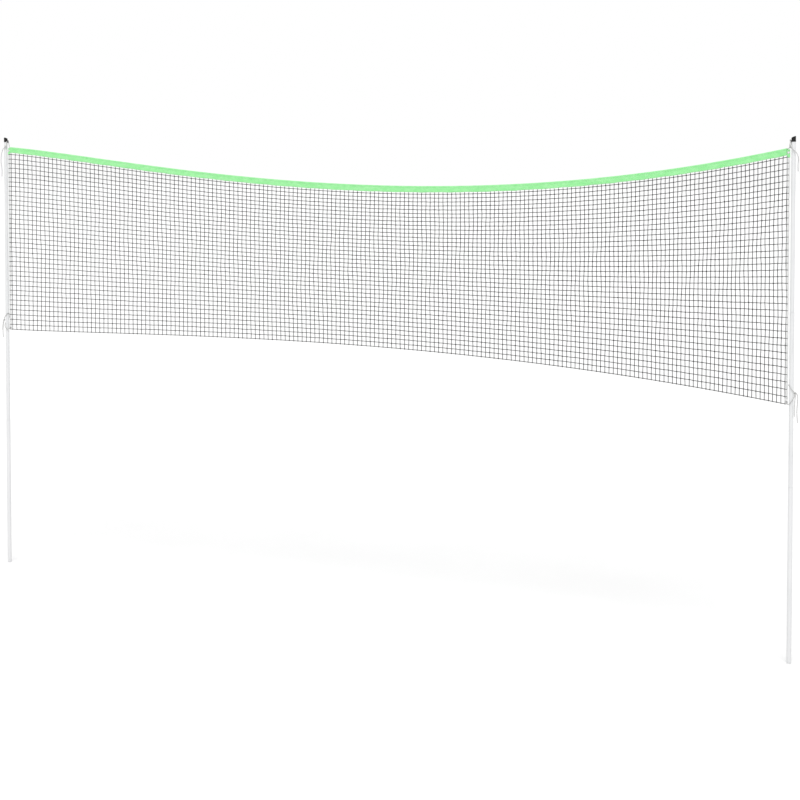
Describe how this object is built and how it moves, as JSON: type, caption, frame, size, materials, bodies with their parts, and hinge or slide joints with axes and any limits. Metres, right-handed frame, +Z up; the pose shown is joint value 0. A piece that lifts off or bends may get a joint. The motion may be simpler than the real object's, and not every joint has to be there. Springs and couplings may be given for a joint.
{
  "type": "sports net on poles",
  "caption": "Thin sectional poles with ground spikes, joined by a fine mesh net with a folded cloth top band, side tapes and cord ties.",
  "frame": {"origin": "on the ground line, midway between the two poles' axes", "axes": "+X along the net from the left pole to the right one as seen from the front, +Y through the net to its far side, +Z up"},
  "size_m": [3.0454, 0.022, 1.6797],
  "materials": {
    "pole_paint": "smooth white powder coat, slightly glossy",
    "cap_plastic": "fine moulded texture, black",
    "plug_plastic": "moulded, off-white",
    "spike_steel": "drawn steel rod, turned point",
    "band_cloth": "bright mint green coated weave, stitched along its edges",
    "tape_cloth": "plain white woven tape",
    "mesh_twine": "dark grey twisted twine",
    "white_cord": "thin white braided cord",
    "eyelet_metal": "plated, slightly dull"
  },
  "bodies": {
    "ground_sections": {"left_ground_spike": "spike_steel", "left_foot_plug": "plug_plastic", "left_lower_tube": "pole_paint", "right_ground_spike": "spike_steel", "right_foot_plug": "plug_plastic", "right_lower_tube": "pole_paint"},
    "left_middle": {"left_middle_tube": "pole_paint"},
    "right_middle": {"right_middle_tube": "pole_paint"},
    "raised_net": {"left_upper_tube": "pole_paint", "left_pole_cap": "cap_plastic", "left_top_tie": "white_cord", "left_top_knot": "white_cord", "left_top_tail": "white_cord", "left_side_tape": "tape_cloth", "left_top_eyelet": "eyelet_metal", "top_band": "band_cloth", "head_cord": "white_cord", "net_mesh": "mesh_twine", "right_side_tape": "tape_cloth", "right_top_eyelet": "eyelet_metal", "right_top_tie": "white_cord", "right_top_knot": "white_cord", "right_top_tail": "white_cord"},
    "right_upper": {"right_upper_tube": "pole_paint", "right_pole_cap": "cap_plastic"},
    "net_foot": {"foot_cord": "mesh_twine", "left_bottom_corner": "tape_cloth", "left_bottom_eyelet": "eyelet_metal", "left_bottom_tie": "white_cord", "left_bottom_knot": "white_cord", "left_bottom_tail_a": "white_cord", "left_bottom_tail_b": "white_cord", "right_bottom_corner": "tape_cloth", "right_bottom_eyelet": "eyelet_metal", "right_bottom_tie": "white_cord", "right_bottom_knot": "white_cord", "right_bottom_tail_a": "white_cord", "right_bottom_tail_b": "white_cord"}
  },
  "joints": [
    {"name": "left_middle_lift", "type": "slide", "parent": "ground_sections", "child": "left_middle", "axis": [0, 0, 1], "range_m": [0, 0.055]},
    {"name": "right_middle_lift", "type": "slide", "parent": "ground_sections", "child": "right_middle", "axis": [0, 0, 1], "range_m": [0, 0.055]},
    {"name": "left_upper_lift", "type": "slide", "parent": "left_middle", "child": "raised_net", "axis": [0, 0, 1], "range_m": [0, 0.055]},
    {"name": "right_upper_lift", "type": "slide", "parent": "right_middle", "child": "right_upper", "axis": [0, 0, 1], "range_m": [0, 0.055]},
    {"name": "net_foot_slide", "type": "slide", "parent": "raised_net", "child": "net_foot", "axis": [0, 0, -1], "range_m": [0, 0.03]}
  ],
  "couplings": [
    {"joint": "right_middle_lift", "follows": "left_middle_lift", "ratio": 1},
    {"joint": "right_upper_lift", "follows": "left_upper_lift", "ratio": 1}
  ]
}
